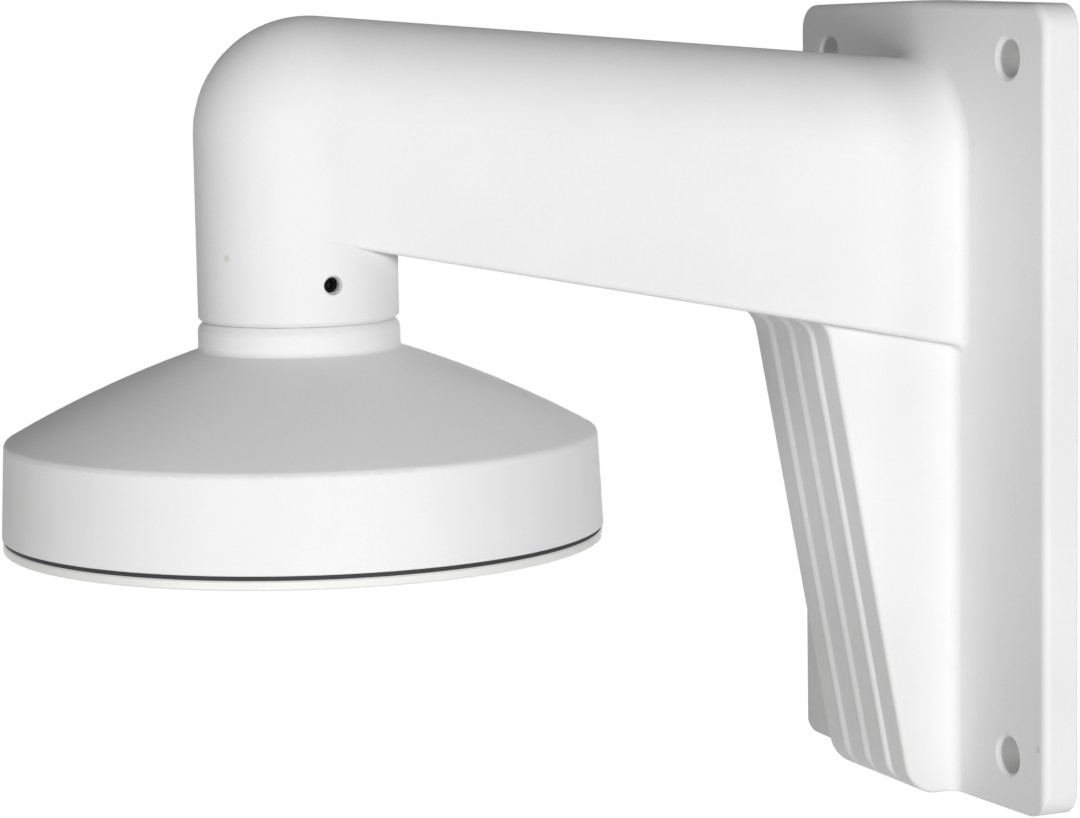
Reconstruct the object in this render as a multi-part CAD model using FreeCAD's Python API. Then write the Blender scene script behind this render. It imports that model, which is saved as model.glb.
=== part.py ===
import FreeCAD, Part
import math
import os

from FreeCAD import Vector

# White die-cast wall bracket for a dome camera, in millimetres.
# +Z is up, the wall is the plane Y = 0 and the arm reaches out along -Y.
# The origin is the centre of the four fixing holes on the wall face.

# Wall plate
PLATE_WIDTH = 112.0
PLATE_HEIGHT = 182.0
PLATE_THICKNESS = 8.5
PLATE_CORNER = 6.0
PLATE_EDGE = 1.8
PLATE_DRAFT = 1.0
HOLE_SIDE_DISTANCE = 15.0
HOLE_END_DISTANCE = 12.0
HOLE_RADIUS = 4.2
HOLE_CHAMFER = 0.9
HOLE_BOSS_WALL = 4.3
CASTING_WALL = 3.8
RIM_WALL = 4.6
RIB_WALL = 2.6
RIB_COUNT = 3

# Arm, elbow and neck
CAP_AXIS_REACH = 162.4
NECK_RADIUS = 21.75
NECK_LENGTH = 39.9
NECK_END_CHAMFER = 0.8
ELBOW_SHIFT = 3.5
ELBOW_PIVOT_Z = 66.1
ARM_TOP_FALL = 4.96
ARM_SOLE_FALL = 11.2
ARM_SOLE_AT_PLATE_Z = 13.0
ARM_ROOT_FLARE = 1.25
ARM_SOLE_CORNER = 1.6
ROOT_FILLET = 2.6

# Gusset
GUSSET_HALF_WIDTH = 18.8
GUSSET_FRONT_LEAN = 10.8
GUSSET_FRONT_REACH = 35.9
GUSSET_FRONT_REACH_Z = -13.7
GUSSET_TOP_FILLET = 7.0
GUSSET_TOP_BITE = 8.0
GUSSET_TOE_RADIUS = 9.0
GUSSET_SIDE_EDGE = 1.2
BEAD_COUNT = 3
BEAD_SPACING = 9.8
BEAD_HEIGHT = 0.8
BEAD_WIDTH = 3.0
BEAD_TOE_RADIUS = 5.4
BEAD_TOE_TURN = 75.0
BEAD_HEAD_TURN = 45.0

# Cap joint in the neck
NECK_THREAD_WALL = 5.05
THREAD_CLEARANCE = 0.1
SPIGOT_LENGTH = 17.0
SPIGOT_WALL = 4.1
THREAD_RELIEF = 2.0
LOCK_SCREW_RISE = 8.7
LOCK_SCREW_RADIUS = 2.0
LOCK_SCREW_SET_BACK = 1.4
LOCK_SCREW_HEX = 2.0
LOCK_SCREW_HEX_DEPTH = 2.0
LOCK_SCREW_CLEARANCE = 0.05

# Pendant cap
COLLAR_PROUD = 0.15
COLLAR_HEIGHT = 6.2
COLLAR_ROUND = 2.2
COLLAR_FOOT_FILLET = 1.2
CONE_HEIGHT = 19.0
CONE_CROWN = 1.1
SKIRT_FLARE = 1.0
SKIRT_RADIUS = 65.3
SKIRT_HEIGHT = 20.2
SKIRT_EDGE = 1.5
CAP_WALL = 3.0
RIM_LAND_WIDTH = 6.5

# Seal, camera plate and its screws
SEAL_THICKNESS = 1.0
SEAL_INSET = 0.5
SEAL_WIDTH = 5.0
CAMERA_PLATE_THICKNESS = 2.0
CAMERA_PLATE_INSET = 0.2
CAMERA_PLATE_EDGE = 0.3
CAMERA_CABLE_RADIUS = 16.0
CAMERA_HOLE_SPACING = 60.0
CAMERA_HOLE_RADIUS = 2.1
SCREW_COUNT = 3
SCREW_EDGE_DISTANCE = 11.0
SCREW_RADIUS = 2.0
SCREW_HEAD_RADIUS = 3.7
SCREW_LENGTH = 10.0
SCREW_CLEARANCE = 0.25
SCREW_SEAT_CLEARANCE = 0.05
SCREW_HEAD_SINK = 0.05
SCREW_FIRST_ANGLE = 30.0
SCREW_BOSS_RADIUS = 4.8
SCREW_DRIVE_WIDTH = 1.0
SCREW_DRIVE_SPAN = 4.2
SCREW_DRIVE_DEPTH = 1.4

# How far a cut runs past a face, and how closely a level is matched
PAST = 1.0
NEAR = 0.05

# Levels and places that follow from the sizes above
PLATE_FACE_Y = -PLATE_THICKNESS
PLATE_DRAFT_SLOPE = math.tan(math.radians(PLATE_DRAFT))
PLATE_RIDGE = PLATE_DRAFT_SLOPE * PLATE_WIDTH / 2
PLATE_FOOT_Z = -PLATE_HEIGHT / 2 - PLATE_RIDGE
HOLE_SPACING_X = PLATE_WIDTH - 2 * HOLE_SIDE_DISTANCE
HOLE_SPACING_Z = PLATE_HEIGHT - 2 * HOLE_END_DISTANCE
CAP_AXIS_Y = -CAP_AXIS_REACH
NECK_END_Z = ELBOW_PIVOT_Z - NECK_LENGTH
ARM_ROOT_RADIUS = NECK_RADIUS + ARM_ROOT_FLARE
PIVOT = Vector(0, CAP_AXIS_Y + ELBOW_SHIFT, ELBOW_PIVOT_Z)
ARM_TAPER = ARM_ROOT_FLARE / (CAP_AXIS_REACH - ELBOW_SHIFT - PLATE_THICKNESS)
FALL = math.radians(ARM_TOP_FALL) + math.atan(ARM_TAPER)
ALONG = Vector(0, math.cos(FALL), -math.sin(FALL))
ABOVE = Vector(0, math.sin(FALL), math.cos(FALL))
ACROSS = Vector(1, 0, 0)
UP = Vector(0, 0, 1)
COLLAR_TOP_Z = NECK_END_Z
COLLAR_END_Z = COLLAR_TOP_Z - COLLAR_HEIGHT
COLLAR_RADIUS = NECK_RADIUS + COLLAR_PROUD
SHOULDER_Z = COLLAR_END_Z - CONE_HEIGHT
SKIRT_END_Z = SHOULDER_Z - SKIRT_HEIGHT
SEAL_END_Z = SKIRT_END_Z - SEAL_THICKNESS
CAP_BASE_Z = SEAL_END_Z - CAMERA_PLATE_THICKNESS
BORE_RADIUS = NECK_RADIUS - NECK_THREAD_WALL
SPIGOT_RADIUS = BORE_RADIUS - THREAD_CLEARANCE
CABLE_BORE_RADIUS = SPIGOT_RADIUS - SPIGOT_WALL
LOCK_SCREW_Z = NECK_END_Z + LOCK_SCREW_RISE
SKIRT_TOP_RADIUS = SKIRT_RADIUS - SKIRT_FLARE
SCREW_CIRCLE = SKIRT_RADIUS - SCREW_EDGE_DISTANCE


def cap_point(radius, z):
    return Vector(0, CAP_AXIS_Y - radius, z)


def polygon(points):
    return Part.makePolygon(points + points[:1])


def turned(wire_edges):
    """Solid of revolution about the cap's axis from edges in the plane X = 0."""
    face = Part.Face(Part.Wire(wire_edges))
    solid = face.revolve(Vector(0, CAP_AXIS_Y, 0), UP, 360)
    return Part.Solid(solid) if solid.ShapeType == "Shell" else solid


def lines(points):
    """Straight edges through the points in turn, left open."""
    return [Part.LineSegment(a, b).toShape() for a, b in zip(points, points[1:])]


def cap_cylinder(radius, low, high, x=0.0, y=0.0):
    return Part.makeCylinder(radius, high - low, Vector(x, CAP_AXIS_Y + y, low), UP)


# Arm outline: a round-topped section that runs from the elbow to the wall.

def sole_z(y):
    """Height of the arm's flat underside at a distance from the wall."""
    return ARM_SOLE_AT_PLATE_Z - (y - PLATE_FACE_Y) * math.tan(math.radians(ARM_SOLE_FALL))


def arm_run(wall, end_y):
    """The arm's straight run: a tapered round crown, flat sides tangent to it, and the sole."""
    radius = NECK_RADIUS - wall
    before = 2 * ELBOW_SHIFT
    after = (end_y - PIVOT.y) / ALONG.y + 2 * NECK_RADIUS * math.tan(FALL)
    near = PIVOT - ALONG * before + ABOVE * ELBOW_SHIFT
    far = PIVOT + ALONG * after + ABOVE * ELBOW_SHIFT
    near_radius = radius - ARM_TAPER * before
    far_radius = radius + ARM_TAPER * after

    def plan(overlap):
        return Part.Face(polygon([
            near - ACROSS * (near_radius + overlap),
            near + ACROSS * (near_radius + overlap),
            far + ACROSS * (far_radius + overlap),
            far - ACROSS * (far_radius + overlap),
        ]))

    crown = Part.makeCone(near_radius, far_radius, before + after, near, ALONG)
    crown = crown.common(plan(PAST).extrude(ABOVE * 2 * far_radius))

    def sole(x, y):
        return Vector(x, y, sole_z(y) + wall)

    start, finish = CAP_AXIS_Y - PLATE_WIDTH, PLATE_WIDTH
    under = Part.Face(polygon([sole(-PLATE_WIDTH, start), sole(PLATE_WIDTH, start),
                               sole(PLATE_WIDTH, finish), sole(-PLATE_WIDTH, finish)]))
    sides = plan(0.0).extrude(ABOVE * -PLATE_HEIGHT).cut(under.extrude(UP * -2 * PLATE_HEIGHT))
    corners = [e for e in sides.Edges if e.BoundBox.YLength > NECK_RADIUS
               and all(abs(v.Z - sole_z(v.Y) - wall) < NEAR for v in e.Vertexes)]
    return crown.fuse(sides.makeFillet(ARM_SOLE_CORNER, corners)), radius


def arm_tube(wall, end_y):
    """The arm, elbow and upper neck as solids, offset inwards by a wall."""
    prism, radius = arm_run(wall, end_y)

    # Above the pivot the straight run starts at the pivot, below it at the neck's axis
    span = 4 * NECK_RADIUS
    above_pivot = Part.Face(polygon([
        PIVOT - ACROSS * span,
        PIVOT - ACROSS * span + ABOVE * span,
        PIVOT - ACROSS * span + ABOVE * span - ALONG * span,
        PIVOT - ACROSS * span - ALONG * span,
    ])).extrude(ACROSS * 2 * span)
    before_axis = Part.makeBox(2 * span, span, 2 * span,
                               Vector(-span, CAP_AXIS_Y - span, PIVOT.z - span))
    prism = prism.cut(above_pivot).cut(before_axis)
    end = Part.makeBox(2 * span, span, 4 * span, Vector(-span, end_y, -2 * span))
    prism = prism.cut(end)

    # Elbow: the part of the neck's section in front of the pivot, turned up about it
    level = PIVOT.z
    front = Part.Face(Part.Wire(lines([
        Vector(-radius, CAP_AXIS_Y, level),
        Vector(-radius, PIVOT.y, level),
        Vector(radius, PIVOT.y, level),
        Vector(radius, CAP_AXIS_Y, level),
    ]) + [Part.Arc(Vector(radius, CAP_AXIS_Y, level),
                   Vector(0, CAP_AXIS_Y - radius, level),
                   Vector(-radius, CAP_AXIS_Y, level)).toShape()]))
    elbow = front.revolve(PIVOT, ACROSS * -1, 90 + math.degrees(FALL))
    return prism, elbow, radius


def outer_arm(end_y):
    prism, elbow, radius = arm_tube(0.0, end_y)
    neck = cap_cylinder(radius, NECK_END_Z, PIVOT.z)
    ends = [e for e in neck.Edges if abs(e.BoundBox.ZMax - NECK_END_Z) < NEAR]
    neck = neck.makeChamfer(NECK_END_CHAMFER, ends)
    return neck.fuse([elbow, prism])


def inner_arm():
    prism, elbow, radius = arm_tube(CASTING_WALL, PAST)
    throat = cap_cylinder(radius, NECK_END_Z + SPIGOT_LENGTH + THREAD_RELIEF, PIVOT.z)
    bore = cap_cylinder(BORE_RADIUS, NECK_END_Z - PAST, PIVOT.z)
    return throat.fuse([elbow, prism, bore])


# Gusset: one side outline, used for its outside, its hollow and its beads.

def front_y(z):
    """The gusset's front face at a height."""
    return -GUSSET_FRONT_REACH - (z - GUSSET_FRONT_REACH_Z) * math.tan(math.radians(GUSSET_FRONT_LEAN))


def gusset_corner(inset):
    """Where the gusset's front, moved inwards by an inset, meets the arm's underside."""
    lean = math.tan(math.radians(GUSSET_FRONT_LEAN))
    slope = math.tan(math.radians(ARM_SOLE_FALL))
    shift = inset / math.cos(math.radians(GUSSET_FRONT_LEAN))
    # front_y(z) + shift = y and sole_z(y) = z, solved together
    y = (front_y(ARM_SOLE_AT_PLATE_Z + PLATE_FACE_Y * slope) + shift) / (1 - lean * slope)
    return Vector(0, y, sole_z(y))


def sole_lead():
    """Point ahead of the gusset that its top blend aims at, just inside the arm's underside."""
    knee = gusset_corner(0.0)
    rise = math.tan(math.radians(ARM_SOLE_FALL + GUSSET_TOP_BITE))
    return knee + Vector(0, -PLATE_THICKNESS, PLATE_THICKNESS * rise)


def rounded(before, corner, after, radius):
    """Tangent arc at a corner, as its start, middle and end points."""
    a = (before - corner).normalize()
    b = (after - corner).normalize()
    half = a.getAngle(b) / 2
    middle = (a + b).normalize()
    centre = corner + middle * (radius / math.sin(half))
    reach = radius / math.tan(half)
    return corner + a * reach, centre - middle * radius, corner + b * reach


def gusset_block(inset, top_fillet, end_y):
    half = GUSSET_HALF_WIDTH - inset
    base = PLATE_FOOT_Z + inset
    shift = inset / math.cos(math.radians(GUSSET_FRONT_LEAN))
    knee = gusset_corner(inset)
    toe = Vector(0, front_y(base) + shift, base)
    heel = Vector(0, end_y, base)
    start, middle, finish = rounded(knee, toe, heel, GUSSET_TOE_RADIUS - inset)
    edges = [Part.LineSegment(heel, finish).toShape(), Part.Arc(finish, middle, start).toShape()]
    if top_fillet:
        low, bend, high = rounded(toe, knee, sole_lead(), top_fillet)
        rise = Vector(0, 0, CASTING_WALL / 2)
        edges += [Part.LineSegment(start, low).toShape(), Part.Arc(low, bend, high).toShape()]
        edges += lines([high, high + rise, Vector(0, end_y, sole_z(end_y)) + rise, heel])
    else:
        edges += lines([start, knee, Vector(0, end_y, sole_z(end_y)), heel])
    face = Part.Face(Part.Wire(edges))
    face.translate(ACROSS * -half)
    return face.extrude(ACROSS * 2 * half)


def gusset():
    """The gusset with its front corners eased."""
    block = gusset_block(0.0, GUSSET_TOP_FILLET, PLATE_FACE_Y / 2)
    sides = [e for e in block.Edges
             if e.BoundBox.XLength < NEAR and e.BoundBox.YMax < PLATE_FACE_Y - ROOT_FILLET
             and e.BoundBox.ZMax < sole_z(e.BoundBox.YMax) + CASTING_WALL / 2
             and e.BoundBox.ZMax > PLATE_FOOT_Z + NEAR]
    return block.makeFillet(GUSSET_SIDE_EDGE, sides)


def root_blend():
    """Hollow-faced strip where the gusset's +X side meets the plate."""
    height = ARM_SOLE_AT_PLATE_Z + CASTING_WALL / 2 - PLATE_FOOT_Z
    edge = GUSSET_HALF_WIDTH
    inner = edge - CASTING_WALL / 2
    foot = edge + ROOT_FILLET
    bend = ROOT_FILLET * (1 - math.sqrt(0.5))
    face = plate_face_y(foot)
    crest = face - ROOT_FILLET
    buried = face + CASTING_WALL / 2
    outline = lines([Vector(edge, crest, PLATE_FOOT_Z), Vector(inner, crest, PLATE_FOOT_Z),
                     Vector(inner, buried, PLATE_FOOT_Z), Vector(foot, buried, PLATE_FOOT_Z),
                     Vector(foot, face, PLATE_FOOT_Z)])
    outline.append(Part.Arc(Vector(foot, face, PLATE_FOOT_Z),
                            Vector(edge + bend, face - bend, PLATE_FOOT_Z),
                            Vector(edge, crest, PLATE_FOOT_Z)).toShape())
    return Part.Face(Part.Wire(outline)).extrude(UP * height)


def bead(x):
    """A low rounded rib down the gusset's front that sinks away at both ends."""
    radius = (BEAD_WIDTH ** 2 / 4 + BEAD_HEIGHT ** 2) / (2 * BEAD_HEIGHT)
    depth = radius - BEAD_HEIGHT
    knee = gusset_corner(0.0)
    toe = Vector(0, front_y(PLATE_FOOT_Z), PLATE_FOOT_Z)
    heel = Vector(0, 0, PLATE_FOOT_Z)
    low, bend, high = rounded(toe, knee, sole_lead(), GUSSET_TOP_FILLET)
    start, middle, finish = rounded(knee, toe, heel, GUSSET_TOE_RADIUS)
    down = (toe - knee).normalize()
    inwards = Vector(0, -down.z, down.y)

    def swing(origin, direction, normal, turn, size):
        """Arc from an origin along a direction that bends towards a normal."""
        def point(angle):
            return origin + direction * (size * math.sin(angle)) + normal * (size * (1 - math.cos(angle)))
        return Part.Arc(point(0), point(turn / 2), point(turn)).toShape(), point(turn)

    foot = start + inwards * depth
    brow = low + inwards * depth
    head_turn = math.radians(BEAD_HEAD_TURN)
    lower, end = swing(foot, down, inwards, math.radians(BEAD_TOE_TURN), BEAD_TOE_RADIUS)
    upper, top = swing(brow, down * -1, inwards * -1, head_turn, GUSSET_TOP_FILLET + depth)
    lead = down * -math.cos(head_turn) - inwards * math.sin(head_turn)
    path = [Part.LineSegment(top + lead * CASTING_WALL, top).toShape(), upper,
            Part.LineSegment(brow, foot).toShape(), lower]
    wire = Part.Wire(Part.__sortEdges__(path))
    wire.translate(Vector(x, 0, 0))
    begin = top + lead * CASTING_WALL + Vector(x, 0, 0)
    ring = Part.Wire(Part.makeCircle(radius, begin, lead))
    return wire.makePipe(Part.Face(ring))


# Wall plate

def plate_face_y(x):
    """The plate's front at a distance to the side, drafted away from the parting plane X = 0."""
    return PLATE_FACE_Y - (PLATE_WIDTH / 2 - abs(x)) * PLATE_DRAFT_SLOPE


def plate_block(drop):
    """The +X half of the plate with drafted front, top and foot, its foot moved down by a drop."""
    side = PLATE_WIDTH / 2
    top = PLATE_HEIGHT / 2
    elevation = Part.Face(polygon([Vector(0, 0, PLATE_FOOT_Z - drop), Vector(side, 0, -top - drop),
                                   Vector(side, 0, top), Vector(0, 0, top + PLATE_RIDGE)]))
    low = PLATE_FOOT_Z - drop
    plan = Part.Face(polygon([Vector(0, 0, low), Vector(side, 0, low),
                              Vector(side, plate_face_y(side), low), Vector(0, plate_face_y(0), low)]))
    block = elevation.extrude(Vector(0, -PLATE_WIDTH, 0)).common(plan.extrude(UP * 2 * PLATE_HEIGHT))
    corners = [e for e in block.Edges if e.BoundBox.XMin > side - NEAR
               and e.BoundBox.ZLength < NEAR]
    return block.makeFillet(PLATE_CORNER, corners)


def plate_front():
    """The +X half of the plate, its front edge rounded at the top and the side and crisp below."""
    block = plate_block(2 * PLATE_CORNER)
    rim = [e for e in block.Edges
           if all(abs(v.Y - plate_face_y(v.X)) < NEAR for v in e.Vertexes)
           and e.BoundBox.XMax > NEAR]
    return block.makeFillet(PLATE_EDGE, rim).common(plate_block(0.0))


def fixing_places():
    for x in (-HOLE_SPACING_X / 2, HOLE_SPACING_X / 2):
        for z in (-HOLE_SPACING_Z / 2, HOLE_SPACING_Z / 2):
            yield Vector(x, 0, z)


def fixing_hole(place):
    front = Vector(place.x, plate_face_y(place.x) - PAST, place.z)
    hole = Part.makeCylinder(HOLE_RADIUS, PAST - front.y, front, Vector(0, 1, 0))
    mouth = Part.makeCone(HOLE_RADIUS + HOLE_CHAMFER + PAST, HOLE_RADIUS, HOLE_CHAMFER + PAST,
                          front, Vector(0, 1, 0))
    return hole.fuse(mouth)


def back_recess():
    """The hollow behind the plate's skin, less the hole bosses and the cross ribs."""
    floor_y = PLATE_FACE_Y + CASTING_WALL
    recess = Part.makeBox(PLATE_WIDTH - 2 * RIM_WALL, PAST - floor_y, PLATE_HEIGHT - 2 * RIM_WALL,
                          Vector(RIM_WALL - PLATE_WIDTH / 2, floor_y, RIM_WALL - PLATE_HEIGHT / 2))
    corners = [e for e in recess.Edges if e.BoundBox.YLength > PAST]
    recess = recess.makeFillet(PLATE_EDGE, corners)
    stays = [Part.makeCylinder(HOLE_RADIUS + HOLE_BOSS_WALL, PLATE_THICKNESS + PAST,
                               place + Vector(0, PLATE_FACE_Y, 0), Vector(0, 1, 0))
             for place in fixing_places()]
    pitch = HOLE_SPACING_Z / (RIB_COUNT + 1)
    for index in range(RIB_COUNT):
        z = -HOLE_SPACING_Z / 2 + pitch * (index + 1)
        stays.append(Part.makeBox(PLATE_WIDTH, PLATE_THICKNESS, RIB_WALL,
                                  Vector(-PLATE_WIDTH / 2, PLATE_FACE_Y, z - RIB_WALL / 2)))
    stays += [outer_arm(2 * PAST), gusset_block(0.0, 0.0, 2 * PAST)]
    return recess.cut(stays)


def lock_screw_hole():
    return Part.makeCylinder(LOCK_SCREW_RADIUS + LOCK_SCREW_CLEARANCE, NECK_RADIUS,
                             Vector(0, CAP_AXIS_Y, LOCK_SCREW_Z), ACROSS)


def mould_half():
    """The outside of the casting on the +X side of its parting plane."""
    body = outer_arm(PLATE_FACE_Y / 2).fuse(gusset())
    span = 2 * CAP_AXIS_REACH
    side = Part.makeBox(PLATE_WIDTH, span, 2 * span, Vector(0, -span, -span))
    half = body.common(side).fuse(plate_front()).removeSplitter().Solids[0]
    arch = [e for e in half.Edges
            if all(abs(v.Y - plate_face_y(v.X)) < NEAR for v in e.Vertexes)
            and e.BoundBox.ZMin > ARM_SOLE_AT_PLATE_Z + CASTING_WALL
            and NEAR < e.BoundBox.XMax < ARM_ROOT_RADIUS + PAST]
    half = half.makeFillet(ROOT_FILLET, arch).fuse(root_blend())
    foot = Part.Face(polygon([Vector(0, 0, PLATE_FOOT_Z), Vector(PLATE_WIDTH / 2, 0, -PLATE_HEIGHT / 2),
                              Vector(PLATE_WIDTH / 2, 0, -PLATE_HEIGHT), Vector(0, 0, -PLATE_HEIGHT)]))
    return half.cut(foot.extrude(Vector(0, -span, 0)))


def wall_arm():
    half = mould_half()
    solid = half.fuse(half.mirror(Vector(0, 0, 0), ACROSS)).removeSplitter()
    beads = [bead(BEAD_SPACING * (index - (BEAD_COUNT - 1) / 2)) for index in range(BEAD_COUNT)]
    solid = solid.fuse(beads)
    cuts = [back_recess(), inner_arm(), gusset_block(CASTING_WALL, 0.0, PAST), lock_screw_hole()]
    cuts += [fixing_hole(place) for place in fixing_places()]
    return solid.cut(cuts).removeSplitter()


# Pendant cap

def crown_arc(inset):
    """Centre and radius of the cone's crowned profile, moved inwards by an inset."""
    top = cap_point(COLLAR_RADIUS, COLLAR_END_Z)
    edge = cap_point(SKIRT_TOP_RADIUS, SHOULDER_Z)
    chord = edge - top
    radius = (chord.Length ** 2 / 4 + CONE_CROWN ** 2) / (2 * CONE_CROWN)
    outwards = Vector(0, chord.z, -chord.y).normalize()
    centre = (top + edge) * 0.5 - outwards * (radius - CONE_CROWN)
    return centre, radius - inset


def crown_point(inset, reach):
    """Point of the crowned profile at a radius from the cap's axis."""
    centre, radius = crown_arc(inset)
    y = CAP_AXIS_Y - reach
    return Vector(0, y, centre.z + math.sqrt(radius ** 2 - (y - centre.y) ** 2))


def shoulder_arc():
    """Arc tangent to the crowned profile and to the skirt, as its start, middle and end points."""
    centre, radius = crown_arc(0.0)
    skirt_top = cap_point(SKIRT_TOP_RADIUS, SHOULDER_Z)
    down = (cap_point(SKIRT_RADIUS, SKIRT_END_Z) - skirt_top).normalize()
    inwards = Vector(0, -down.z, down.y)
    # The arc's centre lies on the skirt's line moved inwards, at the crown's radius less its own
    start = skirt_top + inwards * SKIRT_EDGE - centre
    along = start.dot(down)
    run = -along - math.sqrt(along ** 2 - start.Length ** 2 + (radius - SKIRT_EDGE) ** 2)
    middle = centre + start + down * run
    crown_end = centre + (middle - centre).normalize() * radius
    skirt_start = middle - inwards * SKIRT_EDGE
    out = ((crown_end - middle) + (skirt_start - middle)).normalize()
    return crown_end, middle + out * SKIRT_EDGE, skirt_start


def collar_round():
    """Quarter round at the collar's top edge, as its start, middle and end points."""
    middle = cap_point(COLLAR_RADIUS - COLLAR_ROUND, COLLAR_TOP_Z - COLLAR_ROUND)
    out = Vector(0, -1, 1).normalize()
    return middle + UP * COLLAR_ROUND, middle + out * COLLAR_ROUND, middle - Vector(0, COLLAR_ROUND, 0)


def collar_foot():
    """Hollow arc between the collar and the crowned profile, as its start, middle and end points."""
    centre, radius = crown_arc(0.0)
    y = CAP_AXIS_Y - COLLAR_RADIUS - COLLAR_FOOT_FILLET
    reach = radius + COLLAR_FOOT_FILLET
    middle = Vector(0, y, centre.z + math.sqrt(reach ** 2 - (y - centre.y) ** 2))
    inwards = (centre - middle).normalize()
    bend = (inwards + Vector(0, 1, 0)).normalize()
    return (middle + Vector(0, COLLAR_FOOT_FILLET, 0), middle + bend * COLLAR_FOOT_FILLET,
            middle + inwards * COLLAR_FOOT_FILLET)


def cap_outside():
    spigot_top = COLLAR_TOP_Z + SPIGOT_LENGTH
    collar_start, collar_bend, collar_side = collar_round()
    foot_start, foot_bend, crown_start = collar_foot()
    axis_top = cap_point(0, spigot_top)
    axis_low = cap_point(0, SKIRT_END_Z)
    before = lines([
        axis_low,
        axis_top,
        cap_point(SPIGOT_RADIUS - THREAD_RELIEF / 2, spigot_top),
        cap_point(SPIGOT_RADIUS, spigot_top - THREAD_RELIEF / 2),
        cap_point(SPIGOT_RADIUS, COLLAR_TOP_Z),
        collar_start,
    ])
    collar = [Part.Arc(collar_start, collar_bend, collar_side).toShape(),
              Part.LineSegment(collar_side, foot_start).toShape(),
              Part.Arc(foot_start, foot_bend, crown_start).toShape()]
    crown_end, bend, skirt_start = shoulder_arc()
    half_way = crown_point(0.0, CAP_AXIS_Y - (crown_start.y + crown_end.y) / 2)
    crown = Part.Arc(crown_start, half_way, crown_end).toShape()
    shoulder = Part.Arc(crown_end, bend, skirt_start).toShape()
    after = lines([skirt_start, cap_point(SKIRT_RADIUS, SKIRT_END_Z), axis_low])
    return turned(before + collar + [crown, shoulder] + after)


def screw_places():
    for index in range(SCREW_COUNT):
        angle = math.radians(SCREW_FIRST_ANGLE + 360 * index / SCREW_COUNT)
        yield SCREW_CIRCLE * math.cos(angle), SCREW_CIRCLE * math.sin(angle)


def cap_hollow():
    """The hollow under the crown, straight from the cable bore to the skirt, less the bosses."""
    land = SKIRT_RADIUS - RIM_LAND_WIDTH
    wall = SKIRT_RADIUS - CAP_WALL
    upper = SKIRT_TOP_RADIUS - CAP_WALL
    hollow = turned(lines([
        cap_point(0, SKIRT_END_Z - PAST),
        cap_point(0, crown_point(CAP_WALL, CABLE_BORE_RADIUS).z),
        crown_point(CAP_WALL, CABLE_BORE_RADIUS),
        crown_point(CAP_WALL, upper),
        cap_point(wall, SKIRT_END_Z + RIM_LAND_WIDTH),
        cap_point(land, SKIRT_END_Z + CAP_WALL),
        cap_point(land, SKIRT_END_Z - PAST),
        cap_point(0, SKIRT_END_Z - PAST),
    ]))
    bosses = [cap_cylinder(SCREW_BOSS_RADIUS, SKIRT_END_Z - PAST, COLLAR_END_Z, x, y)
              for x, y in screw_places()]
    return hollow.cut(bosses)


def cap_boss_feet():
    """The stretch of each screw boss that passes the seal and stops on the camera plate."""
    return [cap_cylinder(SCREW_BOSS_RADIUS, SEAL_END_Z, SKIRT_END_Z + CAP_WALL, x, y)
            for x, y in screw_places()]


def pendant_cap():
    bore = cap_cylinder(CABLE_BORE_RADIUS, SKIRT_END_Z, COLLAR_TOP_Z + SPIGOT_LENGTH + PAST)
    depth = SCREW_LENGTH + THREAD_RELIEF
    taps = [cap_cylinder(SCREW_RADIUS + THREAD_CLEARANCE, CAP_BASE_Z, CAP_BASE_Z + depth, x, y)
            for x, y in screw_places()]
    return cap_outside().cut([cap_hollow(), bore]).fuse(cap_boss_feet()).cut(taps)


def cap_seal():
    outer = SKIRT_RADIUS - SEAL_INSET
    ring = cap_cylinder(outer, SEAL_END_Z, SKIRT_END_Z)
    return ring.cut(cap_cylinder(outer - SEAL_WIDTH, SEAL_END_Z - PAST, SKIRT_END_Z + PAST))


# Camera plate and its screws

def camera_plate():
    disc = cap_cylinder(SKIRT_RADIUS - CAMERA_PLATE_INSET, CAP_BASE_Z, SEAL_END_Z)
    disc = disc.makeChamfer(CAMERA_PLATE_EDGE, [e for e in disc.Edges if e.BoundBox.ZLength < NEAR])
    cuts = [cap_cylinder(CAMERA_CABLE_RADIUS, CAP_BASE_Z - PAST, SEAL_END_Z + PAST)]
    half = CAMERA_HOLE_SPACING / 2
    for x in (-half, half):
        for y in (-half, half):
            cuts.append(cap_cylinder(CAMERA_HOLE_RADIUS, CAP_BASE_Z - PAST, SEAL_END_Z + PAST, x, y))
    for x, y in screw_places():
        cuts.append(cap_cylinder(SCREW_RADIUS + SCREW_CLEARANCE, CAP_BASE_Z - PAST,
                                 SEAL_END_Z + PAST, x, y))
        mouth = SCREW_HEAD_RADIUS + SCREW_HEAD_SINK + SCREW_SEAT_CLEARANCE + PAST
        cuts.append(Part.makeCone(mouth, 0, mouth, Vector(x, CAP_AXIS_Y + y, CAP_BASE_Z - PAST), UP))
    return disc.cut(cuts)


def plate_screw(x, y):
    foot = Vector(x, CAP_AXIS_Y + y, CAP_BASE_Z + SCREW_HEAD_SINK)
    head = Part.makeCone(SCREW_HEAD_RADIUS, 0, SCREW_HEAD_RADIUS, foot, UP)
    shank = Part.makeCylinder(SCREW_RADIUS, SCREW_LENGTH, foot, UP)
    slot = Part.makeBox(SCREW_DRIVE_SPAN, SCREW_DRIVE_WIDTH, SCREW_DRIVE_DEPTH,
                        foot - Vector(SCREW_DRIVE_SPAN / 2, SCREW_DRIVE_WIDTH / 2, 0))
    cross = slot.copy()
    cross.rotate(foot, UP, 90)
    return head.fuse(shank).cut([slot, cross])


def camera_plate_screws():
    return Part.makeCompound([plate_screw(x, y) for x, y in screw_places()])


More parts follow.
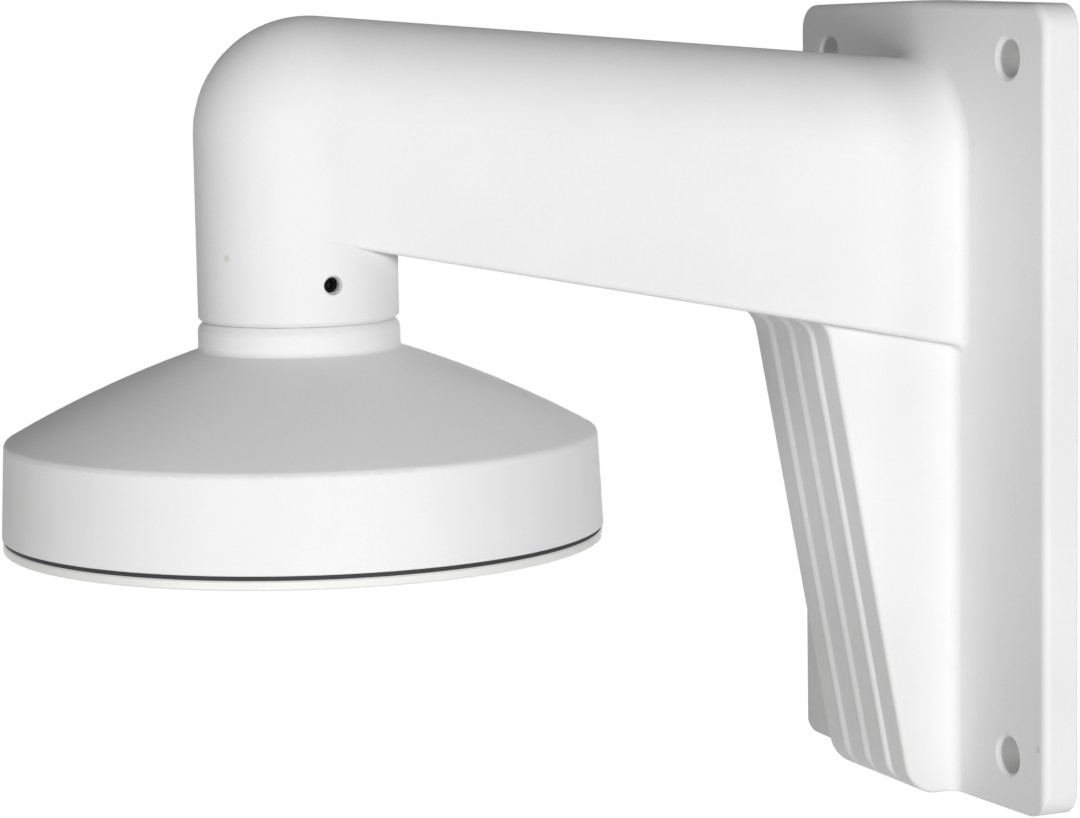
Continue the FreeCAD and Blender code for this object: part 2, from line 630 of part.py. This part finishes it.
def cap_lock_screw():
    """Grub screw that bears on the spigot, with its hexagon socket facing out."""
    tip = SPIGOT_RADIUS + LOCK_SCREW_CLEARANCE
    end = NECK_RADIUS - LOCK_SCREW_SET_BACK
    at = Vector(0, CAP_AXIS_Y, LOCK_SCREW_Z)
    shank = Part.makeCylinder(LOCK_SCREW_RADIUS, end - tip, at + ACROSS * tip, ACROSS)
    bevel = [e for e in shank.Edges if e.BoundBox.XLength < NEAR and e.BoundBox.XMax < tip + NEAR]
    shank = shank.makeChamfer(LOCK_SCREW_RADIUS / 4, bevel)
    corner = LOCK_SCREW_HEX / math.sqrt(3)
    points = [at + ACROSS * (end - LOCK_SCREW_HEX_DEPTH)
              + Vector(0, corner * math.cos(math.radians(60 * k)), corner * math.sin(math.radians(60 * k)))
              for k in range(6)]
    socket = Part.Face(polygon(points)).extrude(ACROSS * (LOCK_SCREW_HEX_DEPTH + PAST))
    return shank.cut(socket)


NODES = {
    "wall_arm": wall_arm,
    "pendant_cap": pendant_cap,
    "cap_seal": cap_seal,
    "camera_plate": camera_plate,
    "camera_plate_screws": camera_plate_screws,
    "cap_lock_screw": cap_lock_screw,
}

if __name__ == "__main__":
    os.makedirs("parts", exist_ok=True)
    for name, build in NODES.items():
        build().exportStep("parts/" + name + ".step")
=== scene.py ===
import bmesh
import bpy
import math
from mathutils import Matrix, Vector


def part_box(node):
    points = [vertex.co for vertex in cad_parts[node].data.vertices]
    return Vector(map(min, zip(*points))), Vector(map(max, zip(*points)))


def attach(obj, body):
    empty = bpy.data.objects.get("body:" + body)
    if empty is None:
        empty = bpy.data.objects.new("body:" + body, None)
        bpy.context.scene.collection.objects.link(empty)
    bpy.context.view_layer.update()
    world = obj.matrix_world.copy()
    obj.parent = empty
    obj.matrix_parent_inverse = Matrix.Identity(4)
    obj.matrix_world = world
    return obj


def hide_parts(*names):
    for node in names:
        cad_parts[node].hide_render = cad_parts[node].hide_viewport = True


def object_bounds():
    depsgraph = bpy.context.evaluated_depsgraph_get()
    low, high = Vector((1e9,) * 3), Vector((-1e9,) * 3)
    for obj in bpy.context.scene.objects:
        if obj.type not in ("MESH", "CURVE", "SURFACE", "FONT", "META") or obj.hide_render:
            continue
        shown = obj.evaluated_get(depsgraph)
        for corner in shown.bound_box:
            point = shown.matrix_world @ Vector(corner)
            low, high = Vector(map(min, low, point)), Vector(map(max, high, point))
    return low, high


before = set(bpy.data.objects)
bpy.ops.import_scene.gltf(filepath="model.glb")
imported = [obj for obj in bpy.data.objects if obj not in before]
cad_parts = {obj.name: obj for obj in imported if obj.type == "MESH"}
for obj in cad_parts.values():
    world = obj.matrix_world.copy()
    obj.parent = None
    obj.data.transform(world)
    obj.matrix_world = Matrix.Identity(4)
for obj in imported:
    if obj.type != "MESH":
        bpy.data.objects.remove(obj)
cad_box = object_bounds()


# Wall arm. One die casting of aluminium alloy: wall plate, hollow arm, neck and fluted gusset.
# It is blasted, then sprayed with white polyester powder that bakes to an almost matt skin with a
# fine grain over a soft orange peel. Four anchors through the plate hold it to the wall.

COAT_WHITE = (0.866, 0.861, 0.87)
COAT_SHADE = (0.838, 0.832, 0.84)
COAT_SPECKLE = (0.7542, 0.7488, 0.756)
SPECKLE_STRENGTH = 0.35
COAT_GLOSS = (0.42, 0.54)
COAT_SHINE = 0.004
PATCHES_PER_METRE = 28
GRAIN_PER_METRE = 2600
CASTING_GRAIN_DEPTH = 0.00003
GRAIN_STRENGTH = 0.5
PEEL_PER_METRE = 520
PEEL_DEPTH = 0.00006
PEEL_STRENGTH = 0.35
COAT_EASE = 0.0004
EASE_SAMPLES = 6

# The Mix node has a set of sockets for each kind of value, all named A, B and Result, so those for
# colours go by number
MIX_COLOURS = (6, 7)
MIX_RESULT = 2


class Finish:
    """A node material under construction, with short calls for the nodes that it needs."""

    def __init__(self, name):
        self.material = bpy.data.materials.new(name)
        self.material.use_nodes = True
        self.nodes = self.material.node_tree.nodes
        self.links = self.material.node_tree.links
        self.skin = self.nodes["Principled BSDF"]
        self.place = self.nodes.new("ShaderNodeTexCoord").outputs["Object"]

    def join(self, source, target):
        """Link from a node's output to an input."""
        self.links.new(source, target)

    def noise(self, per_metre, detail=2.0, roughness=0.5, offset=(0.0, 0.0, 0.0)):
        """Noise of so many features per metre, from 0 to 1."""
        moved = self.nodes.new("ShaderNodeMapping")
        moved.inputs["Location"].default_value = offset
        self.join(self.place, moved.inputs["Vector"])
        node = self.nodes.new("ShaderNodeTexNoise")
        node.inputs["Scale"].default_value = per_metre
        node.inputs["Detail"].default_value = detail
        node.inputs["Roughness"].default_value = roughness
        self.join(moved.outputs["Vector"], node.inputs["Vector"])
        return node.outputs["Fac"]

    def spread(self, value, low, high, start=0.0, end=1.0):
        """A value from start to end turned into one from low to high."""
        node = self.nodes.new("ShaderNodeMapRange")
        node.inputs["From Min"].default_value = start
        node.inputs["From Max"].default_value = end
        node.inputs["To Min"].default_value = low
        node.inputs["To Max"].default_value = high
        self.join(value, node.inputs["Value"])
        return node.outputs["Result"]

    def blend(self, factor, first, second):
        """Colour mixed by a factor from two colours, each a tuple or a socket."""
        node = self.nodes.new("ShaderNodeMix")
        node.data_type = "RGBA"
        self.join(factor, node.inputs["Factor"])
        for colour, number in zip((first, second), MIX_COLOURS):
            if isinstance(colour, tuple):
                node.inputs[number].default_value = (*colour, 1.0)
            else:
                self.join(colour, node.inputs[number])
        return node.outputs[MIX_RESULT]

    def relief(self, height, depth, strength, under=None):
        """Bump of a real depth in metres, over another bump where one is given."""
        node = self.nodes.new("ShaderNodeBump")
        node.inputs["Strength"].default_value = strength
        node.inputs["Distance"].default_value = depth
        self.join(height, node.inputs["Height"])
        if under is not None:
            self.join(under, node.inputs["Normal"])
        return node.outputs["Normal"]

    def eased(self, radius):
        """Normals that round every edge by a radius, as a thick skin does."""
        node = self.nodes.new("ShaderNodeBevel")
        node.samples = EASE_SAMPLES
        node.inputs["Radius"].default_value = radius
        return node.outputs["Normal"]

    def vector(self, operation, first, second=None):
        """A vector step on a socket, with a tuple where the step takes two values."""
        node = self.nodes.new("ShaderNodeVectorMath")
        node.operation = operation
        self.join(first, node.inputs[0])
        if second is not None:
            node.inputs[1].default_value = second
        return node.outputs["Value" if operation == "DISTANCE" else "Vector"]

    def near(self, place, spot, radius, softness):
        """1 where a place lies within a radius of a spot, falling to 0 past it."""
        away = self.vector("DISTANCE", place, spot)
        return self.spread(away, 1.0, 0.0, start=radius, end=radius + softness)

    def put_on(self, piece):
        """The finish takes the place of whatever the piece carries."""
        piece.data.materials.clear()
        piece.data.materials.append(self.material)


def powder_coat(name, grain_depth):
    """Baked white powder: fine grain over orange peel, with faint patches of shade and gloss."""
    coat = Finish(name)
    coat.skin.inputs["Specular IOR Level"].default_value = COAT_SHINE
    patches = coat.noise(PATCHES_PER_METRE, detail=3.0)
    grain = coat.noise(GRAIN_PER_METRE, detail=3.0, roughness=0.65)
    shade = coat.spread(patches, 0.0, 1.0, start=0.35, end=0.65)
    tint = coat.blend(shade, COAT_WHITE, COAT_SHADE)
    speckle = coat.spread(grain, 0.0, SPECKLE_STRENGTH, start=0.55, end=0.8)
    tint = coat.blend(speckle, tint, COAT_SPECKLE)
    orange_peel = coat.noise(PEEL_PER_METRE, detail=1.0)
    peel = coat.relief(orange_peel, PEEL_DEPTH, PEEL_STRENGTH, under=coat.eased(COAT_EASE))
    skin = coat.relief(grain, grain_depth, GRAIN_STRENGTH, under=peel)
    coat.join(skin, coat.skin.inputs["Normal"])
    gloss = coat.noise(PATCHES_PER_METRE, offset=(0.3, 0.1, 0.7))
    coat.join(coat.spread(gloss, *COAT_GLOSS), coat.skin.inputs["Roughness"])
    return coat, tint


casting_coat, casting_tint = powder_coat("white_powder_on_casting", CASTING_GRAIN_DEPTH)

# Two specks of grit under the coat, on the neck and by the lower fixing hole
SPECK_COLOUR = (0.71, 0.705, 0.69)
SPECKS = ((0.00984, -0.18197, 0.04066), (0.05333, -0.00855, -0.07502))
SPECK_RADIUS = 0.0004
SPECK_EDGE = 0.0007
for speck in SPECKS:
    on_speck = casting_coat.near(casting_coat.place, speck, SPECK_RADIUS, SPECK_EDGE)
    casting_tint = casting_coat.blend(on_speck, casting_tint, SPECK_COLOUR)

# Painted shade: the walls of the four fixing holes are coloured greyer, standing in for the shade
# inside them
HOLE_PLACE = (0.041, 0.0, 0.079)
HOLE_RADIUS = 0.0043
HOLE_EDGE = 0.0001
HOLE_PAINTED_SHADE = (0.68, 0.68, 0.68)
mirrored = casting_coat.vector("ABSOLUTE", casting_coat.place)
flat = casting_coat.vector("MULTIPLY", mirrored, (1.0, 0.0, 1.0))
in_hole = casting_coat.near(flat, HOLE_PLACE, HOLE_RADIUS, HOLE_EDGE)
casting_tint = casting_coat.blend(in_hole, casting_tint, HOLE_PAINTED_SHADE)

casting_coat.join(casting_tint, casting_coat.skin.inputs["Base Color"])
casting_coat.put_on(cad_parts["wall_arm"])


# Lock screw. A short M4 grub screw of steel, blackened by oxide, with a hexagon socket. It sits deep
# in a tapped hole in the neck, where its cupped tip bears on the cap's spigot and stops the cap
# from unscrewing. The hole's thread is coloured grey as painted shade inside the hole.

SCREW_BLACK = (0.004, 0.004, 0.0045)
SCREW_OILY = (0.009, 0.009, 0.01)
SCREW_SHINE = 0.08
SCREW_LENGTH = 0.0021
SCREW_EDGE = 0.00025
SCREW_SIDES = 48
SOCKET_ACROSS = 0.002
SOCKET_DEPTH = 0.0013
CUP_RADIUS = 0.0009


def made(name, mesh):
    """An object of the bracket from finished bmesh work."""
    bmesh.ops.recalc_face_normals(mesh, faces=mesh.faces)
    data = bpy.data.meshes.new(name)
    mesh.to_mesh(data)
    mesh.free()
    piece = bpy.data.objects.new(name, data)
    bpy.context.scene.collection.objects.link(piece)
    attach(piece, "root")
    return piece


def join_rings(mesh, rings):
    """Faces from each ring of points to the next, where a ring of one point closes an end."""
    for near_ring, far_ring in zip(rings, rings[1:]):
        for k in range(max(len(near_ring), len(far_ring))):
            corners = [near_ring[k % len(near_ring)], near_ring[(k + 1) % len(near_ring)],
                       far_ring[(k + 1) % len(far_ring)], far_ring[k % len(far_ring)]]
            mesh.faces.new(list(dict.fromkeys(corners)))


def grub_screw(name, tip, radius):
    """Screw with its cupped tip at a point and its hexagon socket facing +X."""
    angles = [math.tau * step / SCREW_SIDES for step in range(SCREW_SIDES)]
    hexagon = [SOCKET_ACROSS / 2 / math.cos(angle % (math.pi / 3) - math.pi / 6) for angle in angles]
    middle = [0.0]
    socket_end = SCREW_LENGTH - SOCKET_DEPTH

    def circle(size):
        return [size] * SCREW_SIDES

    # How far each ring lies from the tip, and its radius at each angle, from the cup to the socket
    profile = (
        (CUP_RADIUS / 2, middle),
        (0.0, circle(CUP_RADIUS)),
        (0.0, circle(radius / 2)),
        (radius / 2, circle(radius)),
        (SCREW_LENGTH - SCREW_EDGE, circle(radius)),
        (SCREW_LENGTH, circle(radius - SCREW_EDGE)),
        (SCREW_LENGTH, hexagon),
        (socket_end, hexagon),
        (socket_end - SOCKET_ACROSS / 8, middle),
    )
    mesh = bmesh.new()
    rings = [[mesh.verts.new(tip + Vector((x, size * math.cos(angle), size * math.sin(angle))))
              for angle, size in zip(angles, sizes)]
             for x, sizes in profile]
    join_rings(mesh, rings)
    return made(name, mesh)


def grained(name, light, dark, per_metre, gloss, depth, strength=0.4, roughness=0.5):
    """A finish with one fine grain that drives its colour, its gloss and its relief."""
    finish = Finish(name)
    grain = finish.noise(per_metre, roughness=roughness)
    finish.join(finish.blend(grain, light, dark), finish.skin.inputs["Base Color"])
    finish.join(finish.spread(grain, *gloss), finish.skin.inputs["Roughness"])
    finish.join(finish.relief(grain, depth, strength), finish.skin.inputs["Normal"])
    return finish


screw_low, screw_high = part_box("cap_lock_screw")
screw_tip = (screw_low + screw_high) / 2
screw_tip.x = screw_low.x
lock_screw = grub_screw("lock_grub_screw", screw_tip, (screw_high.z - screw_low.z) / 2)
black_oxide = grained("blackened_steel", SCREW_BLACK, SCREW_OILY,
                      per_metre=1800, gloss=(0.4, 0.62), depth=0.00001)
black_oxide.skin.inputs["Specular IOR Level"].default_value = SCREW_SHINE
black_oxide.put_on(lock_screw)
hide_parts("cap_lock_screw")

# Pitch and height of the ridge in metres, half of its foot and half of its crest in pitches, and
# in turns the plain length at each end of the hole and the length over which the ridge rises
THREAD_PITCH = 0.0007
THREAD_RIDGE = 0.00036
THREAD_FOOT = 0.44
THREAD_CREST = 0.09
THREAD_END = 0.45
THREAD_RUNOUT = 0.25
THREAD_LEAST = 0.05
THREAD_STEPS = 40


def thread(name, mouths, along, depth, wall):
    """Helical ridges inside round holes, from each mouth inwards for a depth."""
    side = along.orthogonal().normalized()
    third = along.cross(side)
    turns = depth / THREAD_PITCH - 2 * THREAD_END
    mesh = bmesh.new()
    for mouth in mouths:
        rings = []
        for step in range(int(THREAD_STEPS * turns) + 1):
            turn = step / THREAD_STEPS
            to_end = min(turn, turns - turn)
            crest = wall - THREAD_RIDGE * min(1.0, to_end / THREAD_RUNOUT + THREAD_LEAST)
            outwards = side * math.cos(math.tau * turn) + third * math.sin(math.tau * turn)
            start = mouth + along * (THREAD_PITCH * (turn + THREAD_END))
            ridge = ((wall, -THREAD_FOOT), (crest, -THREAD_CREST),
                     (crest, THREAD_CREST), (wall, THREAD_FOOT))
            rings.append([mesh.verts.new(start + outwards * radius + along * (THREAD_PITCH * shift))
                          for radius, shift in ridge])
        join_rings(mesh, rings)
        mesh.faces.new(rings[0][::-1])
        mesh.faces.new(rings[-1])
    return made(name, mesh)


# Painted shade: the thread's greys stand in for the shade deep in the lock hole
THREAD_PAINTED_SHADE_LIGHT = (0.6, 0.6, 0.6)
THREAD_PAINTED_SHADE_DARK = (0.42, 0.42, 0.42)
LOCK_HOLE_MOUTH = 0.0216
LOCK_HOLE_RADIUS = 0.00206

hole_thread = thread(
    "lock_hole_thread", [Vector((LOCK_HOLE_MOUTH, screw_tip.y, screw_tip.z))],
    Vector((-1.0, 0.0, 0.0)), LOCK_HOLE_MOUTH - screw_tip.x - SCREW_LENGTH, LOCK_HOLE_RADIUS)
thread_shade_finish = grained("painted_shade_on_thread", THREAD_PAINTED_SHADE_LIGHT, THREAD_PAINTED_SHADE_DARK,
                      per_metre=3400, gloss=(0.5, 0.7), depth=0.00001)
thread_shade_finish.skin.inputs["Specular IOR Level"].default_value = COAT_SHINE
thread_shade_finish.put_on(hole_thread)


# Pendant cap. A second aluminium casting: round collar, crowned cone and skirt, with a spigot
# that screws up into the neck. It has the same white powder, a little coarser on the cone.

CAP_GRAIN_DEPTH = 0.00004

cap_coat, cap_tint = powder_coat("white_powder_on_cap", CAP_GRAIN_DEPTH)
cap_coat.join(cap_tint, cap_coat.skin.inputs["Base Color"])
cap_coat.put_on(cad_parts["pendant_cap"])


# Seal. A flat ring punched from black rubber sheet, pinched between the skirt and the camera
# plate, so that only its outer edge shows as a dark line.

RUBBER_BLACK = (0.011, 0.011, 0.011)
RUBBER_GREY = (0.022, 0.022, 0.022)

rubber = grained("black_rubber", RUBBER_BLACK, RUBBER_GREY,
                 per_metre=3200, gloss=(0.62, 0.8), depth=0.00002, strength=0.5, roughness=0.6)
rubber.put_on(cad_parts["cap_seal"])


# Camera plate. A pale painted disc of aluminium that closes the cap and carries the camera, with
# a cable hole, four tapped holes for the camera's screws and three sunk holes for its own.

PLATE_PAINT = (0.82, 0.82, 0.81)
PLATE_SHADE = (0.79, 0.79, 0.785)
PAINT_GLOSS = (0.3, 0.4)
PAINT_PATCHES_PER_METRE = 40
PAINT_RIPPLES_PER_METRE = 900
PAINT_RIPPLE_DEPTH = 0.00002
PAINT_RIPPLE_STRENGTH = 0.4

plate_paint = Finish("pale_paint")
paint_patches = plate_paint.noise(PAINT_PATCHES_PER_METRE)
plate_paint.join(plate_paint.blend(paint_patches, PLATE_PAINT, PLATE_SHADE),
                 plate_paint.skin.inputs["Base Color"])
plate_paint.join(plate_paint.spread(paint_patches, *PAINT_GLOSS),
                 plate_paint.skin.inputs["Roughness"])
paint_ripples = plate_paint.noise(PAINT_RIPPLES_PER_METRE)
plate_paint.join(plate_paint.relief(paint_ripples, PAINT_RIPPLE_DEPTH, PAINT_RIPPLE_STRENGTH),
                 plate_paint.skin.inputs["Normal"])
plate_paint.put_on(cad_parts["camera_plate"])


# Camera hole threads. The four holes for the camera's screws are tapped after painting, so bright
# bare ridges of the same 4 mm thread wind down each of them.

BARE_ALUMINIUM = (0.72, 0.72, 0.73)
BARE_GREY = (0.58, 0.58, 0.6)
CAMERA_HOLE_REACH = 0.03
CAMERA_HOLE_RADIUS = 0.00212

plate_low, plate_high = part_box("camera_plate")
cap_axis_y = (plate_low.y + plate_high.y) / 2
camera_holes = [Vector((x, cap_axis_y + y, plate_low.z))
                for x in (-CAMERA_HOLE_REACH, CAMERA_HOLE_REACH)
                for y in (-CAMERA_HOLE_REACH, CAMERA_HOLE_REACH)]
camera_threads = thread("camera_hole_threads", camera_holes, Vector((0.0, 0.0, 1.0)),
                        plate_high.z - plate_low.z, CAMERA_HOLE_RADIUS)
bare_metal = grained("bare_cut_aluminium", BARE_ALUMINIUM, BARE_GREY,
                     per_metre=5200, gloss=(0.25, 0.45), depth=0.000008)
bare_metal.skin.inputs["Metallic"].default_value = 1.0
bare_metal.put_on(camera_threads)


# Plate screws. Three countersunk cross-head screws of bright zinc-plated steel that hold the
# camera plate and the seal against the cap's bosses.

ZINC = (0.62, 0.63, 0.65)
ZINC_GREY = (0.5, 0.51, 0.53)

zinc_plate = grained("zinc_plated_steel", ZINC, ZINC_GREY,
                     per_metre=2400, gloss=(0.22, 0.42), depth=0.00001)
zinc_plate.skin.inputs["Metallic"].default_value = 1.0
zinc_plate.put_on(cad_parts["camera_plate_screws"])


# Stage. A plain pale floor well below the bracket and an even white surround, with soft lamps all
# round, the strongest from the right and weaker ones behind.

FLOOR_DROP = 0.9
FLOOR_SIZE = 12.0
FLOOR_WHITE = (0.8, 0.8, 0.8)
FLOOR_GLOW = 0.955
SKY_LEVEL = 0.08


def seen_directly(nodes, links):
    """1 for rays from the camera, from mirrors and through glass, which see the plain white."""
    path = nodes.new("ShaderNodeLightPath")
    total = path.outputs["Is Camera Ray"]
    for name in ("Is Glossy Ray", "Is Transmission Ray"):
        add = nodes.new("ShaderNodeMath")
        add.operation = "MAXIMUM"
        links.new(total, add.inputs[0])
        links.new(path.outputs[name], add.inputs[1])
        total = add.outputs["Value"]
    return total


def glow(nodes, links, dim, bright):
    """A strength that is dim as a light on the bracket and bright where it is seen directly."""
    node = nodes.new("ShaderNodeMapRange")
    node.inputs["To Min"].default_value = dim
    node.inputs["To Max"].default_value = bright
    links.new(seen_directly(nodes, links), node.inputs["Value"])
    return node.outputs["Result"]


def white_floor():
    """A wide square of matt floor that shows as white and takes soft shadows."""
    mesh = bpy.data.meshes.new("floor")
    half = FLOOR_SIZE / 2
    level = cad_box[0][2] - FLOOR_DROP
    corners = [(-half, -half, level), (half, -half, level), (half, half, level), (-half, half, level)]
    mesh.from_pydata(corners, [], [(0, 1, 2, 3)])
    floor = bpy.data.objects.new("floor", mesh)
    bpy.context.scene.collection.objects.link(floor)
    material = bpy.data.materials.new("pale_floor")
    material.use_nodes = True
    nodes, links = material.node_tree.nodes, material.node_tree.links
    nodes.clear()
    matt = nodes.new("ShaderNodeBsdfDiffuse")
    matt.inputs["Color"].default_value = (*FLOOR_WHITE, 1.0)
    white = nodes.new("ShaderNodeEmission")
    links.new(glow(nodes, links, 0.0, FLOOR_GLOW), white.inputs["Strength"])
    both = nodes.new("ShaderNodeAddShader")
    links.new(matt.outputs["BSDF"], both.inputs[0])
    links.new(white.outputs["Emission"], both.inputs[1])
    out = nodes.new("ShaderNodeOutputMaterial")
    links.new(both.outputs["Shader"], out.inputs["Surface"])
    mesh.materials.append(material)


white_floor()

sky = bpy.data.worlds.new("white_surround")
sky.use_nodes = True
sky_nodes, sky_links = sky.node_tree.nodes, sky.node_tree.links
sky_light = sky_nodes["Background"]
sky_light.inputs["Color"].default_value = (1.0, 1.0, 1.0, 1.0)
sky_links.new(glow(sky_nodes, sky_links, SKY_LEVEL, 1.0), sky_light.inputs["Strength"])
bpy.context.scene.world = sky

# Each lamp: name, compass angle from straight in front towards +X, height angle, width in metres,
# watts and colour
PLAIN_WHITE = (1.0, 1.0, 1.0)
WARM_WHITE = (1.0, 1.0, 0.955)
LAMPS = (
    ("side_softbox", 90.0, 10.0, 0.5, 18.4, PLAIN_WHITE),
    ("quarter_softbox", 60.0, -10.0, 0.5, 4.5, PLAIN_WHITE),
    ("low_front_softbox", 30.0, -10.0, 1.0, 7.8, WARM_WHITE),
    ("high_front_softbox", 30.0, 25.0, 1.0, 7.2, PLAIN_WHITE),
    ("wall_side_softbox", 120.0, 10.0, 0.5, 4.5, PLAIN_WHITE),
    ("rear_softbox", 200.0, -10.0, 1.0, 12.0, PLAIN_WHITE),
    ("left_softbox", 247.0, -10.0, 1.0, 9.5, PLAIN_WHITE),
)
LAMP_DISTANCE = 2.0
LAMP_AIM = Vector((0.0, -0.09, 0.0))

for name, turn, height, width, power, colour in LAMPS:
    lamp = bpy.data.objects.new(name, bpy.data.lights.new(name, "AREA"))
    lamp.data.shape = "DISK"
    lamp.data.size = width
    lamp.data.energy = power
    lamp.data.color = colour
    away = Vector((math.sin(math.radians(turn)) * math.cos(math.radians(height)),
                   -math.cos(math.radians(turn)) * math.cos(math.radians(height)),
                   math.sin(math.radians(height))))
    lamp.location = LAMP_AIM + away * LAMP_DISTANCE
    lamp.rotation_euler = away.to_track_quat("Z", "Y").to_euler()
    bpy.context.scene.collection.objects.link(lamp)


# Camera. It stands to the bracket's right and a little above it, as for the photograph, 0.8 m
# away, and is turned by one degree about its own line of sight.

VIEW_TURN = math.radians(66.0865)
VIEW_HEIGHT = math.radians(7.0165)
VIEW_ROLL = math.radians(-1.0028)
VIEW_PLACE = (0.6922994, -0.4126249, 0.0958526)
VIEW_NEAREST = 0.01
VIEW_SENSOR = 36.0
VIEW_LENS = 113.388

look = Vector((-math.sin(VIEW_TURN) * math.cos(VIEW_HEIGHT),
               math.cos(VIEW_TURN) * math.cos(VIEW_HEIGHT), -math.sin(VIEW_HEIGHT)))
level = Vector((math.cos(VIEW_TURN), math.sin(VIEW_TURN), 0.0))
up = level.cross(look)
right = level * math.cos(VIEW_ROLL) + up * math.sin(VIEW_ROLL)
top = up * math.cos(VIEW_ROLL) - level * math.sin(VIEW_ROLL)
camera = bpy.data.objects.new("camera", bpy.data.cameras.new("camera"))
camera.data.sensor_width = VIEW_SENSOR
camera.data.lens = VIEW_LENS
camera.data.clip_start = VIEW_NEAREST
turned = Matrix((right, top, -look)).transposed().to_4x4()
camera.matrix_world = Matrix.Translation(VIEW_PLACE) @ turned
bpy.context.scene.collection.objects.link(camera)
bpy.context.scene.camera = camera

bpy.context.scene.view_settings.view_transform = "Standard"
